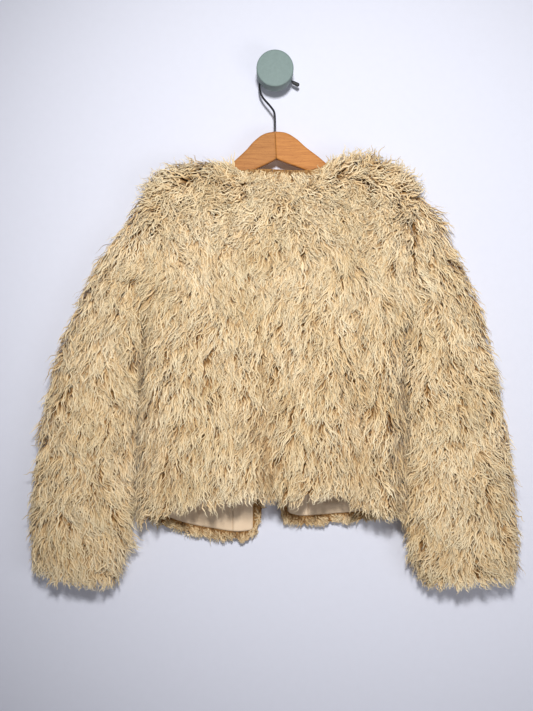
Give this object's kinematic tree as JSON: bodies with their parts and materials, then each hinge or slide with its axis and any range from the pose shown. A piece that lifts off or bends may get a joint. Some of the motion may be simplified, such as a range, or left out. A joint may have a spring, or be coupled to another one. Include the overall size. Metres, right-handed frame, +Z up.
{
  "type": "faux fur coat on a wooden hanger and wall knob",
  "caption": "Short cream shaggy faux fur coat, open-fronted and collarless, on a wooden hanger hung from a round sage wall knob, back to the room.",
  "frame": {"origin": "middle of the knob's flat foot, on the wall", "axes": "+Z up, +Y into the wall, -Y towards the room, which is the side that shows the coat's back; +X to the viewer's right"},
  "size_m": [0.6791, 0.0868, 0.743],
  "materials": {
    "fur": "long shaggy pile",
    "lining": "satin twill",
    "facing": "satin twill",
    "wood_left": "clear satin lacquer",
    "wood_right": "clear satin lacquer",
    "wire": "dark polished",
    "cap": "matt",
    "knob": "matt"
  },
  "bodies": {
    "root": {"back": "fur", "front_left": "fur", "front_right": "fur", "sleeve_left_upper_arm": "fur", "sleeve_left_forearm": "fur", "sleeve_right_upper_arm": "fur", "sleeve_right_forearm": "fur", "lining_front_left": "lining", "lining_front_right": "lining", "facing_left": "facing", "facing_right": "facing", "hanger_left": "wood_left", "hanger_right": "wood_right", "hanger_hook": "wire", "hook_tip": "cap", "knob": "knob"}
  },
  "joints": []
}
